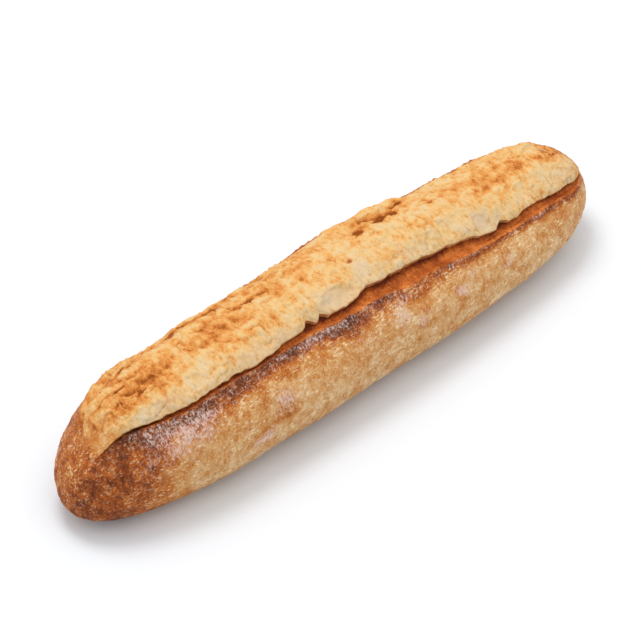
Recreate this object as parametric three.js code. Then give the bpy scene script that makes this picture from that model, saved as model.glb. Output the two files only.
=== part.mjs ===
/**
 * A short baguette that was scored once along its top and baked open there.
 *
 * The loaf lies along X on its flat base, with +Z up and the origin in the middle of the base. Its front
 * is -Y. The crust is one closed surface, lofted through rings that follow the loaf from its right tip to
 * its left one. Each ring runs from the middle of the base up the front crust to the lip of the cut, down
 * into the cut, up under the edge of the bloom, which is the dough that rose out of the cut, over the bloom
 * and down the back crust. Every ring has the same rows, so that the lip and the edges of the bloom are
 * clean lines along the loaf. Units are millimetres.
 */
import * as THREE from 'three';
import { LoftGeometry } from 'three/addons/geometries/LoftGeometry.js';
import { mergeVertices } from 'three/addons/utils/BufferGeometryUtils.js';

const { degToRad, lerp, smoothstep, clamp } = THREE.MathUtils;

// The whole loaf
const LENGTH = 300;
const HALF_LENGTH = LENGTH / 2;
const BELLY_SHARE = 0.43; // height of the widest line, as a share of the crust's height
const BASE_REACH = 1.1; // over 1 flattens the base: the curve would go below the table, and stops on it
const GIRTH_RADIUS = 33; // turns an angle round the loaf into a length on its crust

// How the two ends round off: the length that each takes and how blunt it is, the height of its tip, and
// the length over which its underside comes down to the table, and how blunt that is
const LEFT_END = { reach: 60, blunt: 2.0, tip: 11, lift: 57, liftBlunt: 1.9 };
const RIGHT_END = { reach: 94, blunt: 3.6, tip: 21, lift: 62, liftBlunt: 1.7 };

// Widths and height of the crust at stations along X: [ station, size ]
const FRONT_WIDTH = [
	[-150, 31.3], [-115, 29.1], [-80, 32.5], [-30, 34], [30, 35.5], [90, 33.5], [150, 34],
];
const BACK_WIDTH = [
	[-150, 35.9], [-115, 34.2], [-80, 34.1], [-30, 34.3], [30, 35.4], [90, 29.5], [150, 30],
];
const CRUST_HEIGHT = [[-150, 52], [-90, 50.2], [-30, 50.2], [30, 50.2], [90, 45.4], [150, 47.5]];

// Lines of the cut, in degrees up from the front's widest line, over the top, to the back: [ station, angle ]
const FRONT_LIP = [
	[-150, 80], [-134, 74.5], [-123, 69.5], [-118, 64.5], [-111, 59.5], [-96, 55.8], [-85, 58.4],
	[-72, 59], [-60, 57.8], [-45, 57.5], [-30, 56.9], [-12, 54], [5, 52.8], [22, 49], [46, 47],
	[60, 44.8], [90, 43.2], [105, 42], [117, 39.5], [128, 36.3], [138, 38], [150, 46],
];
const BLOOM_FRONT = [
	[-150, 84], [-137, 77], [-130, 75.8], [-122, 71], [-115, 64.8], [-104, 60.8], [-97, 59.5], [-88, 61.4],
	[-72, 61.6], [-60, 59.8], [-52, 60.3], [-45, 62.2], [-28, 63], [-16, 62], [-9, 60.6], [-3, 61.6],
	[4, 65.4], [10, 63.4], [18, 64], [29, 62.8], [45, 60], [59, 57.6], [70, 52.8],
	[83, 51], [103, 51.6], [116, 48.5], [130, 44.8], [140, 45], [150, 51],
];
const BLOOM_BACK = [
	[-150, 98], [-140, 100], [-135, 109], [-128, 121], [-118, 131], [-95, 135],
	[0, 136], [70, 134], [112, 130], [136, 122], [150, 112],
];

// The cut and the bloom
const CUT_START = { tip: -142, full: -120 };
const CUT_END = { full: 130, tip: 149 };
const FRONT_LIP_RISE = [[-150, 0.8], [-100, 1.1], [-30, 0.8], [60, 0.7], [150, 1.0]];
const CUT_DEPTH = [[-150, 1.0], [-60, 1.3], [-20, 1.5], [40, 1.7], [100, 1.5], [150, 1.0]];
const BLOOM_EDGE_RISE = 1.3; // of the bloom's front rim over the plain crust
const BLOOM_RISE = [[-150, 2.6], [-95, 3.0], [-30, 3.4], [20, 3.6], [60, 2.6], [110, 2.8], [150, 3.2]];
const UNDERCUT = 0.9; // how far the bloom's front rim stands over the cut
const BACK_LIP_WIDTH = 5; // degrees, from the bloom's back edge to the lip of the back crust
const BACK_LIP_RISE = [
	[-150, 0.3], [-138, 0.5], [-131, 2.6], [-125, 0.7], [-119, 1.4], [-103, 1.0], [-82, -0.7],
	[-68, 0.3], [-32, -0.2], [-5, -0.2], [20, 0.6], [46, 0.5], [65, -0.8], [84, 0.5], [110, 0.5],
	[125, -0.2], [138, 0.5], [150, 0.5],
];
const BACK_GULLY = 0.8; // depth of the groove between the bloom and the back lip
const BACK_DROP = 0.6; // how much lower the bloom lies towards its back

// Bites that the oven tore out of the bloom's front edge: station, half length along X, depth in degrees
const TEARS = [
	{ at: -29.5, long: 3.6, deep: 5 },
	{ at: -22, long: 3.2, deep: 5 },
	{ at: 82, long: 4.5, deep: 4.5 },
];

// Folds and hollows of the bloom: station, angle, half length along X, half width round the loaf, rise
const FOLDS = [
	{ at: -88, angle: 110, long: 40, wide: 2.0, rise: 0.6 },
	{ at: -66, angle: 122, long: 60, wide: 4.5, rise: -1.1 },
	{ at: -112, angle: 92, long: 9, wide: 2.0, rise: -0.9 },
	{ at: -103, angle: 84, long: 12, wide: 2.4, rise: 0.8 },
	{ at: -88, angle: 96, long: 10, wide: 1.8, rise: -0.8 },
	{ at: -64, angle: 82, long: 13, wide: 3.0, rise: 0.6 },
	{ at: -6, angle: 66, long: 15, wide: 3.2, rise: -1.3 },
	{ at: -14, angle: 75, long: 12, wide: 2.2, rise: 0.7 },
	{ at: 31, angle: 112, long: 9, wide: 2.6, rise: -1.8 },
	{ at: 16, angle: 108, long: 6, wide: 2.4, rise: -1.6 },
	{ at: 44, angle: 110, long: 5, wide: 1.6, rise: -1.2 },
	{ at: 74, angle: 60, long: 6, wide: 5.5, rise: -1.3 },
	{ at: 81, angle: 64, long: 2.6, wide: 6.5, rise: 0.9 },
	{ at: 112, angle: 104, long: 18, wide: 2.4, rise: 0.8 },
	{ at: 100, angle: 118, long: 26, wide: 3.4, rise: -0.9 },
	{ at: -89, angle: 120, long: 13, wide: 7, rise: -0.6 },
	{ at: 4, angle: 118, long: 6, wide: 6, rise: -0.5 },
	{ at: 37, angle: 118, long: 8, wide: 6, rise: 0.9 },
	{ at: 66, angle: 118, long: 9, wide: 7, rise: -1.3 },
	{ at: 121, angle: 114, long: 8, wide: 7, rise: -0.6 },
	{ at: -82, angle: 119, long: 6, wide: 7, rise: -0.7 },
	{ at: -131, angle: 108, long: 4, wide: 6, rise: 1.6 },
	{ at: -115, angle: 118, long: 8, wide: 6, rise: -0.5 },
];

// Rows of points in each stretch of a ring, and rings along the loaf
const ROWS = { frontCrust: 12, cut: 4, bloom: 16, backLip: 2, backCrust: 11 };
const RINGS = 104;
const NOSE_RING = 0.0015; // the first and last rings, as a share of the way from a tip to the middle

/** Smooth value of a list of stations at x. */
function along( stations, x ) {

	const last = stations.length - 1;
	const slope = ( i ) => {

		const a = stations[ Math.max( i - 1, 0 ) ];
		const b = stations[ Math.min( i + 1, last ) ];
		return ( b[ 1 ] - a[ 1 ] ) / ( b[ 0 ] - a[ 0 ] );

	};

	const at = clamp( x, stations[ 0 ][ 0 ], stations[ last ][ 0 ] );
	let i = 0;
	while ( i < last - 1 && at > stations[ i + 1 ][ 0 ] ) i ++;
	const [ x0, v0 ] = stations[ i ];
	const [ x1, v1 ] = stations[ i + 1 ];
	const span = x1 - x0;
	const t = ( at - x0 ) / span;
	const bulge = slope( i ) * span * t * ( 1 - t ) ** 2 + slope( i + 1 ) * span * t * t * ( t - 1 );
	return lerp( v0, v1, t * t * ( 3 - 2 * t ) ) + bulge;

}

/** A fixed number from 0 to 1 for each pair of whole numbers. */
function speck( i, j ) {

	const s = Math.sin( i * 127.1 + j * 311.7 ) * 43758.5453;
	return s - Math.floor( s );

}

/** Smooth lumps from -1 to 1, about one unit across. */
function lumps( x, y ) {

	const i = Math.floor( x ), j = Math.floor( y );
	const ease = ( t ) => t * t * t * ( t * ( t * 6 - 15 ) + 10 );
	const u = ease( x - i ), v = ease( y - j );
	const low = lerp( speck( i, j ), speck( i + 1, j ), u );
	const high = lerp( speck( i, j + 1 ), speck( i + 1, j + 1 ), u );
	return lerp( low, high, v ) * 2 - 1;

}

/** 0 at a tip of the loaf and 1 where the end has reached its full size. */
function roundOff( distance, reach, blunt ) {

	const t = clamp( distance / reach, 0, 1 );
	return Math.sqrt( 1 - ( 1 - t ) ** blunt );

}

function girth( x ) {

	return roundOff( x + HALF_LENGTH, LEFT_END.reach, LEFT_END.blunt )
		* roundOff( HALF_LENGTH - x, RIGHT_END.reach, RIGHT_END.blunt );

}

/** A point of the plain loaf, before the cut: the angle goes from -90 degrees, the middle of the base. */
function plainCrust( x, angle ) {

	const size = girth( x );
	const lift = roundOff( x + HALF_LENGTH, LEFT_END.lift, LEFT_END.liftBlunt )
		* roundOff( HALF_LENGTH - x, RIGHT_END.lift, RIGHT_END.liftBlunt );
	const tip = x < 0 ? LEFT_END.tip : RIGHT_END.tip;
	const top = lerp( tip, along( CRUST_HEIGHT, x ), size );
	const bottom = tip * ( 1 - lift );
	const belly = lerp( bottom, top, BELLY_SHARE );
	const c = Math.cos( angle ), s = Math.sin( angle );
	const side = c > 0 ? - along( FRONT_WIDTH, x ) : along( BACK_WIDTH, x );
	const z = s > 0
		? lerp( belly, top, s ** 0.95 )
		: lerp( belly, bottom, Math.min( 1, BASE_REACH * ( - s ) ** 0.8 ) );
	return new THREE.Vector3( x, side * size * Math.abs( c ) ** 0.92, z );

}

/** The plain crust's outward direction, from two short steps along its surface. */
function outward( x, angle ) {

	const step = 0.02;
	const before = Math.max( x - step, - HALF_LENGTH );
	const after = Math.min( x + step, HALF_LENGTH );
	const alongLoaf = plainCrust( after, angle ).sub( plainCrust( before, angle ) );
	const roundLoaf = plainCrust( x, angle + step ).sub( plainCrust( x, angle - step ) );
	return alongLoaf.cross( roundLoaf ).normalize();

}

/** 1 where the cut is fully open, and 0 past its ends. */
function opening( x ) {

	return smoothstep( x, CUT_START.tip, CUT_START.full ) * ( 1 - smoothstep( x, CUT_END.full, CUT_END.tip ) );

}

/** Gentle dents and swellings that the whole crust has, fading out on the flat base and at the tips. */
function dents( x, angle ) {

	const arc = angle * GIRTH_RADIUS;
	const clearOfBase = smoothstep( angle, degToRad( -50 ), degToRad( -15 ) )
		* ( 1 - smoothstep( angle, degToRad( 195 ), degToRad( 230 ) ) );
	const swelling = 0.8 * lumps( x / 34, arc / 26 ) + 0.35 * lumps( x / 11 + 7, arc / 11 );
	return clearOfBase * girth( x ) * swelling;

}

/** Folds, pits and lumps of the bloom. */
function bloomRelief( x, angle ) {

	const arc = angle * GIRTH_RADIUS;
	let rise = lumps( x / 23 + 3, arc / 12 ) + 0.5 * lumps( x / 9, arc / 6 + 5 );
	for ( const fold of FOLDS ) {

		const dx = ( x - fold.at ) / fold.long;
		const dy = ( angle - degToRad( fold.angle ) ) * GIRTH_RADIUS / fold.wide;
		rise += fold.rise * Math.exp( - ( dx ** 4 ) - dy * dy );

	}

	return rise;

}

/** Angles of the cut's lines at x, in radians. The bloom's front edge is torn, its back edge uneven. */
function cutLines( x ) {

	let torn = 0.7 * lumps( x / 7, 40 ) + 0.5 * lumps( x / 2.4, 60 );
	for ( const tear of TEARS ) torn += tear.deep * Math.max( 0, 1 - Math.abs( x - tear.at ) / tear.long );
	const back = along( BLOOM_BACK, x ) + 2 * lumps( x / 7, 80 );
	return {
		lip: degToRad( along( FRONT_LIP, x ) + 0.7 * lumps( x / 6, 20 ) ),
		rim: degToRad( along( BLOOM_FRONT, x ) + torn ),
		back: degToRad( back ),
		backLip: degToRad( back + BACK_LIP_WIDTH ),
	};

}

/** One ring of the crust at x: pairs of an angle and a rise over the plain crust. */
function ringProfile( x ) {

	const open = opening( x );
	const lines = cutLines( x );
	const perMillimetre = 1 / ( GIRTH_RADIUS * Math.max( girth( x ), 0.3 ) );
	const lipRise = open * along( FRONT_LIP_RISE, x );
	const depth = open * along( CUT_DEPTH, x );
	const bloomRise = open * along( BLOOM_RISE, x );
	const edgeRise = open * BLOOM_EDGE_RISE;
	const backRise = open * along( BACK_LIP_RISE, x );
	const undercut = open * UNDERCUT * perMillimetre;
	const ring = [];

	for ( let k = 0; k < ROWS.frontCrust; k ++ ) {

		const angle = lerp( degToRad( -90 ), lines.lip, k / ROWS.frontCrust );
		const fromLip = ( lines.lip - angle ) / perMillimetre;
		ring.push( [ angle, dents( x, angle ) + lipRise * Math.exp( - ( ( fromLip / 3 ) ** 2 ) ) ] );

	}

	for ( let k = 0; k < ROWS.cut; k ++ ) {

		const t = k / ( ROWS.cut - 1 );
		const angle = lerp( lines.lip, lines.rim, 0.9 * t ) + undercut * smoothstep( t, 0.4, 1 );
		const fall = smoothstep( t, 0, 0.45 );
		ring.push( [ angle, dents( x, angle ) + lerp( lipRise, - depth, fall ) ] );

	}

	for ( let k = 0; k <= ROWS.bloom; k ++ ) {

		const t = k / ROWS.bloom;
		const angle = lerp( lines.rim, lines.back, t );
		const swell = 1 - ( 1 - Math.min( t / 0.3, 1 ) ) ** 2;
		const tuck = smoothstep( t, 0.8, 1 );
		const drop = open * BACK_DROP * smoothstep( t, 0.45, 0.75 );
		const crown = lerp( edgeRise, bloomRise - drop, swell );
		const relief = open * bloomRelief( x, angle ) * smoothstep( t, 0, 0.12 ) * ( 1 - 0.6 * tuck );
		ring.push( [ angle, dents( x, angle ) + relief + lerp( crown, - open * BACK_GULLY, tuck ) ] );

	}

	for ( let k = 1; k <= ROWS.backLip; k ++ ) {

		const t = k / ROWS.backLip;
		const angle = lerp( lines.back, lines.backLip, t );
		ring.push( [ angle, dents( x, angle ) + lerp( - open * BACK_GULLY, backRise, smoothstep( t, 0, 1 ) ) ] );

	}

	for ( let k = 1; k < ROWS.backCrust; k ++ ) {

		const angle = lerp( lines.backLip, degToRad( 270 ), k / ROWS.backCrust );
		const fromLip = ( angle - lines.backLip ) / perMillimetre;
		ring.push( [ angle, dents( x, angle ) + backRise * Math.exp( - ( ( fromLip / 4 ) ** 2 ) ) ] );

	}

	return ring;

}

/** The ring of points at x. No point goes below the table. */
function ringPoints( x ) {

	return ringProfile( x ).map( ( [ angle, rise ] ) => {

		const point = plainCrust( x, angle ).addScaledVector( outward( x, angle ), rise );
		point.z = Math.max( point.z, 0 );
		return point;

	} );

}

/** The closed crust. Its rings are closer together at the two ends, where the crust turns. */
function crustGeometry() {

	const rings = [];
	for ( let k = 0; k < RINGS; k ++ ) {

		const share = lerp( NOSE_RING, 1 - NOSE_RING, k / ( RINGS - 1 ) );
		const even = lerp( 1, - 1, share );
		rings.push( ringPoints( HALF_LENGTH * lerp( Math.cos( Math.PI * share ), even, 0.5 ) ) );

	}

	const loft = new LoftGeometry( rings, { capStart: true, capEnd: true } );
	const points = new THREE.BufferGeometry();
	points.setAttribute( 'position', loft.getAttribute( 'position' ) );
	points.setIndex( loft.index );
	const geometry = mergeVertices( points, 1e-4 );
	geometry.computeVertexNormals();
	geometry.computeBoundingBox();
	const middle = geometry.boundingBox.getCenter( new THREE.Vector3() );
	return geometry.translate( - middle.x, - middle.y, 0 );

}

const crust = new THREE.MeshStandardMaterial( { color: 0xc98f4e, roughness: 0.85, metalness: 0 } );
const loaf = new THREE.Mesh( crustGeometry(), crust );
loaf.name = 'loaf';

const baguette = new THREE.Group();
baguette.add( loaf );

export default baguette;
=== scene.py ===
# %% [markdown]
# A short baguette, made as a lesson in cells
#
# The loaf was dusted with flour, cut once along its top and baked on the floor of an oven. In the oven
# the dough rose out of the cut. That dough, the bloom, is rough, flaky and pale gold. The older skin
# beside it is smooth, golden and floury, and ends in a crisp lip over the cut.
#
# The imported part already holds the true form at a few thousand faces. Here the same form is worked out
# again from the same named sizes, with twenty times the faces, so that creases, flakes, pits and
# blisters are real shapes. Colour and finish come from one procedural material.

import math

import bpy
import numpy as np
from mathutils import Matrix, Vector


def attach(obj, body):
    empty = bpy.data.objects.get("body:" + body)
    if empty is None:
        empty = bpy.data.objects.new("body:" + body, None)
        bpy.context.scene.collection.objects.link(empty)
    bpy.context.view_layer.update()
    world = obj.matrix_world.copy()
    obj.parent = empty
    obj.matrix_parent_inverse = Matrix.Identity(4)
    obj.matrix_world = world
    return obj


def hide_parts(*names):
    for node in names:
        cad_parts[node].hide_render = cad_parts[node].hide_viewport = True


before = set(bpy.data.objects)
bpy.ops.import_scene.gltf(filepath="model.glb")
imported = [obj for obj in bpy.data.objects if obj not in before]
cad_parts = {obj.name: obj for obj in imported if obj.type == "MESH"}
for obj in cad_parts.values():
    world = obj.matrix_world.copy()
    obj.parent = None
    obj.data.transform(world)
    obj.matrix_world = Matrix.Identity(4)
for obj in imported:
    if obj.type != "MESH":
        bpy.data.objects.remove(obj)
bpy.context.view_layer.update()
MM = 0.001

# %% [markdown]
# The camera
#
# The photograph looks down on the loaf from its front left with a long lens, which keeps the two ends
# nearly the same size. A long lens far away gives that calm view. The place is worked out from two
# angles and a distance, which say more to a reader than three coordinates would.

# %% Camera
LENS_MM = 180
CAMERA_TARGET = Vector((-6.9, 0.0, 26.0)) * MM
CAMERA_DISTANCE = 1377 * MM
CAMERA_ELEVATION = math.radians(42)
CAMERA_AZIMUTH = math.radians(-44.1)


def direction(azimuth, elevation):
    """Unit vector from the loaf towards a place round it: azimuth 0 is the front, -Y."""
    return Vector((
        math.sin(azimuth) * math.cos(elevation),
        -math.cos(azimuth) * math.cos(elevation),
        math.sin(elevation),
    ))


camera = bpy.data.objects.new("camera", bpy.data.cameras.new("camera"))
camera.data.lens = LENS_MM
back = direction(CAMERA_AZIMUTH, CAMERA_ELEVATION)
camera.location = CAMERA_TARGET + back * CAMERA_DISTANCE
camera.rotation_euler = back.to_track_quat("Z", "Y").to_euler()
bpy.context.scene.collection.objects.link(camera)
bpy.context.scene.camera = camera
print("camera at, m:", [round(v, 3) for v in camera.location])

# %% [markdown]
# Sizes of the loaf
#
# A hand-shaped loaf is a fat tube whose width and height change slowly along it, so it is told by short
# lists of stations: a place along the loaf and a size there. The lines of the cut are told in the same
# way, as angles round the loaf. All of it is in millimetres and degrees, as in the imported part.

# %% Sizes of the loaf
LENGTH = 300
HALF_LENGTH = LENGTH / 2
BELLY_SHARE = 0.43  # height of the widest line, as a share of the crust's height
BASE_REACH = 1.1  # over 1 flattens the base
GIRTH_RADIUS = 33  # turns an angle round the loaf into a length on its crust

LEFT_END = {"reach": 60, "blunt": 2.0, "tip": 11, "lift": 57, "lift_blunt": 1.9}
RIGHT_END = {"reach": 94, "blunt": 3.6, "tip": 21, "lift": 62, "lift_blunt": 1.7}

FRONT_WIDTH = [(-150, 31.3), (-115, 29.1), (-80, 32.5), (-30, 34), (30, 35.5), (90, 33.5), (150, 34)]
BACK_WIDTH = [(-150, 35.9), (-115, 34.2), (-80, 34.1), (-30, 34.3), (30, 35.4), (90, 29.5), (150, 30)]
CRUST_HEIGHT = [(-150, 52), (-90, 50.2), (-30, 50.2), (30, 50.2), (90, 45.4), (150, 47.5)]

# Lines of the cut, in degrees up from the front's widest line, over the top, to the back
FRONT_LIP = [
    (-150, 80), (-134, 74.5), (-123, 69.5), (-118, 64.5), (-111, 59.5), (-96, 55.8), (-85, 58.4),
    (-72, 59), (-60, 57.8), (-45, 57.5), (-30, 56.9), (-12, 54), (5, 52.8), (22, 49), (46, 47),
    (60, 44.8), (90, 43.2), (105, 42), (117, 39.5), (128, 36.3), (138, 38), (150, 46),
]
BLOOM_FRONT = [
    (-150, 84), (-137, 77), (-130, 75.8), (-122, 71), (-115, 64.8), (-104, 60.8), (-97, 59.5), (-88, 61.4),
    (-72, 61.6), (-60, 59.8), (-52, 60.3), (-45, 62.2), (-28, 63), (-16, 62), (-9, 60.6), (-3, 61.6),
    (4, 65.4), (10, 63.4), (18, 64), (29, 62.8), (45, 60), (59, 57.6), (70, 52.8),
    (83, 51), (103, 51.6), (116, 48.5), (130, 44.8), (140, 45), (150, 51),
]
BLOOM_BACK = [
    (-150, 98), (-140, 100), (-135, 109), (-128, 121), (-118, 131), (-95, 135),
    (0, 136), (70, 134), (112, 130), (136, 122), (150, 112),
]

# The cut and the bloom, in millimetres: where the cut starts and ends along X, and how far each part
# stands above the plain crust or lies below it
CUT_START = {"tip": -142, "full": -120}
CUT_END = {"full": 130, "tip": 149}
FRONT_LIP_RISE = [(-150, 0.8), (-100, 1.1), (-30, 0.8), (60, 0.7), (150, 1.0)]
CUT_DEPTH = [(-150, 1.0), (-60, 1.3), (-20, 1.5), (40, 1.7), (100, 1.5), (150, 1.0)]
BLOOM_EDGE_RISE = 1.3  # of the bloom's front rim
BLOOM_RISE = [(-150, 2.6), (-95, 3.0), (-30, 3.4), (20, 3.6), (60, 2.6), (110, 2.8), (150, 3.2)]
UNDERCUT = 0.9  # how far the rim stands over the cut
BACK_LIP_WIDTH = 5  # degrees, from the bloom's back edge to the lip of the back crust
BACK_LIP_RISE = [
    (-150, 0.3), (-138, 0.5), (-131, 2.6), (-125, 0.7), (-119, 1.4), (-103, 1.0), (-82, -0.7),
    (-68, 0.3), (-32, -0.2), (-5, -0.2), (20, 0.6), (46, 0.5), (65, -0.8), (84, 0.5), (110, 0.5),
    (125, -0.2), (138, 0.5), (150, 0.5),
]
BACK_GULLY = 0.8  # depth of the groove between the bloom and the back lip
BACK_DROP = 0.6  # how much lower the bloom lies towards its back

# Bites that the oven tore out of the bloom's front edge: station, half length, depth in degrees
TEARS = [(-29.5, 3.6, 5), (-22, 3.2, 5), (82, 4.5, 4.5)]

# Folds and hollows of the bloom: station, angle, half length along X, half width round the loaf, rise
FOLDS = [
    (-88, 110, 40, 2.0, 0.6), (-66, 122, 60, 4.5, -1.1), (-112, 92, 9, 2.0, -0.9), (-103, 84, 12, 2.4, 0.8),
    (-88, 96, 10, 1.8, -0.8), (-64, 82, 13, 3.0, 0.6), (-6, 66, 15, 3.2, -1.3), (-14, 75, 12, 2.2, 0.7),
    (31, 112, 9, 2.6, -1.8), (16, 108, 6, 2.4, -1.6), (44, 110, 5, 1.6, -1.2), (74, 60, 6, 5.5, -1.3),
    (81, 64, 2.6, 6.5, 0.9), (112, 104, 18, 2.4, 0.8), (100, 118, 26, 3.4, -0.9), (-89, 120, 13, 7, -0.6),
    (4, 118, 6, 6, -0.5), (37, 118, 8, 6, 0.9), (66, 118, 9, 7, -1.3), (121, 114, 8, 7, -0.6),
    (-82, 119, 6, 7, -0.7), (-131, 108, 4, 6, 1.6), (-115, 118, 8, 6, -0.5),
]
print("stations for the cut's lip:", len(FRONT_LIP), "and folds of the bloom:", len(FOLDS))

# %% [markdown]
# Noise by hand
#
# Baked dough is uneven at every size, from dents as long as a finger to grit finer than sand. Blender
# has noise of its own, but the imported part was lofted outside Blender, so the dents they share come
# from a small recipe that both can follow: a fixed random number for each whole number, smoothed
# between. The same recipe in three dimensions makes relief that doesn't stretch at the loaf's ends.


# %% Smooth steps and lumps
def lerp(a, b, t):
    return a + (b - a) * t


def smooth_step(x, low, high):
    t = np.clip((x - low) / (high - low), 0, 1)
    return t * t * (3 - 2 * t)


def speck(i, j, k=0):
    """A fixed number from 0 to 1 for each set of whole numbers."""
    s = np.sin(i * 127.1 + j * 311.7 + k * 74.7) * 43758.5453
    return s - np.floor(s)


def ease(t):
    return t * t * t * (t * (t * 6 - 15) + 10)


def lumps(x, y):
    """Smooth lumps from -1 to 1 on a flat sheet, about one unit across."""
    x, y = np.broadcast_arrays(np.asarray(x, float), np.asarray(y, float))
    i, j = np.floor(x), np.floor(y)
    u, v = ease(x - i), ease(y - j)
    low = lerp(speck(i, j), speck(i + 1, j), u)
    high = lerp(speck(i, j + 1), speck(i + 1, j + 1), u)
    return lerp(low, high, v) * 2 - 1


def lumps_in_space(points, size, seed=0):
    """Smooth lumps from -1 to 1 in space, size millimetres across."""
    p = points / size + seed * 17.3
    cell = np.floor(p)
    i, j, k = np.moveaxis(cell, -1, 0)
    u, v, w = np.moveaxis(ease(p - cell), -1, 0)
    layers = []
    for up in (0, 1):
        low = lerp(speck(i, j, k + up), speck(i + 1, j, k + up), u)
        high = lerp(speck(i, j + 1, k + up), speck(i + 1, j + 1, k + up), u)
        layers.append(lerp(low, high, v))
    return lerp(layers[0], layers[1], w) * 2 - 1


sample = lumps_in_space(np.random.default_rng(1).uniform(-50, 50, (2000, 3)), 7)
print("lumps range from", round(float(sample.min()), 2), "to", round(float(sample.max()), 2))

# %% [markdown]
# The plain loaf
#
# Before it was cut the loaf was a long drop of dough that sagged a little and went flat underneath. A
# surface that is asked for its point at a station and an angle is the handiest form of it, because
# every later step, from the cut to the flour, can then say where it is in the same two numbers.


# %% The plain loaf
def along(stations, x):
    """Smooth value of a list of stations at x."""
    at, value = np.array(stations, float).T
    after = np.minimum(np.arange(len(at)) + 1, len(at) - 1)
    before = np.maximum(np.arange(len(at)) - 1, 0)
    slope = (value[after] - value[before]) / (at[after] - at[before])
    x = np.clip(x, at[0], at[-1])
    i = np.clip(np.searchsorted(at, x, side="left") - 1, 0, len(at) - 2)
    span = at[i + 1] - at[i]
    t = (x - at[i]) / span
    bulge = slope[i] * span * t * (1 - t) ** 2 + slope[i + 1] * span * t * t * (t - 1)
    return lerp(value[i], value[i + 1], t * t * (3 - 2 * t)) + bulge


def round_off(distance, reach, blunt):
    """0 at a tip of the loaf and 1 where the end has reached its full size."""
    t = np.clip(distance / reach, 0, 1)
    return np.sqrt(1 - (1 - t) ** blunt)


def girth(x):
    left = round_off(x + HALF_LENGTH, LEFT_END["reach"], LEFT_END["blunt"])
    return left * round_off(HALF_LENGTH - x, RIGHT_END["reach"], RIGHT_END["blunt"])


def plain_crust(x, angle):
    """Points of the loaf before the cut: the angle goes from -90 degrees, the middle of the base."""
    size = girth(x)
    lift = round_off(x + HALF_LENGTH, LEFT_END["lift"], LEFT_END["lift_blunt"])
    lift = lift * round_off(HALF_LENGTH - x, RIGHT_END["lift"], RIGHT_END["lift_blunt"])
    tip = np.where(x < 0, LEFT_END["tip"], RIGHT_END["tip"])
    top = lerp(tip, along(CRUST_HEIGHT, x), size)
    bottom = tip * (1 - lift)
    belly = lerp(bottom, top, BELLY_SHARE)
    c, s = np.cos(angle), np.sin(angle)
    side = np.where(c > 0, -along(FRONT_WIDTH, x), along(BACK_WIDTH, x))
    above = lerp(belly, top, np.abs(s) ** 0.95)
    below = lerp(belly, bottom, np.minimum(1, BASE_REACH * np.abs(s) ** 0.8))
    z = np.where(s > 0, above, below)
    return np.stack([x + 0 * angle, side * size * np.abs(c) ** 0.92, z], axis=-1)


def unit(vectors):
    return vectors / np.maximum(np.linalg.norm(vectors, axis=-1, keepdims=True), 1e-12)


def outward(x, angle):
    """The plain crust's outward direction, from two short steps along its surface."""
    step = 0.02
    along_loaf = plain_crust(np.minimum(x + step, HALF_LENGTH), angle)
    along_loaf = along_loaf - plain_crust(np.maximum(x - step, -HALF_LENGTH), angle)
    round_loaf = plain_crust(x, angle + step) - plain_crust(x, angle - step)
    return unit(np.cross(along_loaf, round_loaf))


middle = plain_crust(np.array([0.0]), np.radians([90.0]))[0]
print("height of the uncut loaf in its middle, mm:", round(float(middle[2]), 1))

# %% [markdown]
# The lines of the cut
#
# A baker's blade makes one shallow cut, and the oven opens it. Four lines follow it along the loaf: the
# lip of the front crust, the torn front rim of the bloom, the bloom's back edge, and the lip of the back
# crust. Drawing rings of points between these lines keeps each edge crisp. Cutting a finished mesh with
# Booleans would also work, but its edges would be ragged and its points unevenly spread.


# %% Lines of the cut
def opening(x):
    """1 where the cut is fully open, and 0 past its ends."""
    starts = smooth_step(x, CUT_START["tip"], CUT_START["full"])
    return starts * (1 - smooth_step(x, CUT_END["full"], CUT_END["tip"]))


def cut_lines(x):
    """Angles of the lip, the rim, the bloom's back edge and the back lip, in radians."""
    torn = 0.7 * lumps(x / 7, 40) + 0.5 * lumps(x / 2.4, 60)
    for at, long, deep in TEARS:
        torn = torn + deep * np.maximum(0, 1 - np.abs(x - at) / long)
    lip = along(FRONT_LIP, x) + 0.7 * lumps(x / 6, 20)
    back_edge = along(BLOOM_BACK, x) + 2 * lumps(x / 7, 80)
    degrees = (lip, along(BLOOM_FRONT, x) + torn, back_edge, back_edge + BACK_LIP_WIDTH)
    return [np.radians(line) for line in degrees]


def dents(x, angle):
    """Gentle dents and swellings of the whole crust, fading out on the flat base and at the tips."""
    arc = angle * GIRTH_RADIUS
    clear_of_base = smooth_step(angle, np.radians(-50), np.radians(-15))
    clear_of_base = clear_of_base * (1 - smooth_step(angle, np.radians(195), np.radians(230)))
    swelling = 0.8 * lumps(x / 34, arc / 26) + 0.35 * lumps(x / 11 + 7, arc / 11)
    return clear_of_base * girth(x) * swelling


def bloom_relief(x, angle):
    """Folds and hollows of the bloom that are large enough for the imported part."""
    arc = angle * GIRTH_RADIUS
    rise = lumps(x / 23 + 3, arc / 12) + 0.5 * lumps(x / 9, arc / 6 + 5)
    for at, degrees, long, wide, height in FOLDS:
        across = (arc - math.radians(degrees) * GIRTH_RADIUS) / wide
        rise = rise + height * np.exp(-((x - at) / long) ** 4 - across * across)
    return rise


# %% [markdown]
# Rings of points
#
# Each ring starts in the middle of the base and runs up the front crust, into the cut, up its wall,
# round the rim, over the bloom and down the back. The rows of all rings line up, so the whole skin is
# one clean grid of four-sided faces. The rows lie closest where the loaf is roughest.

# %% Rings of points
ROWS = {"front_crust": 56, "wall": 14, "rim": 5, "bloom": 85, "back_lip": 7, "back_crust": 29}
RINGS = 505
NOSE_RING = 0.0002  # the first and last rings, as a share of the way from a tip to the other

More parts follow.
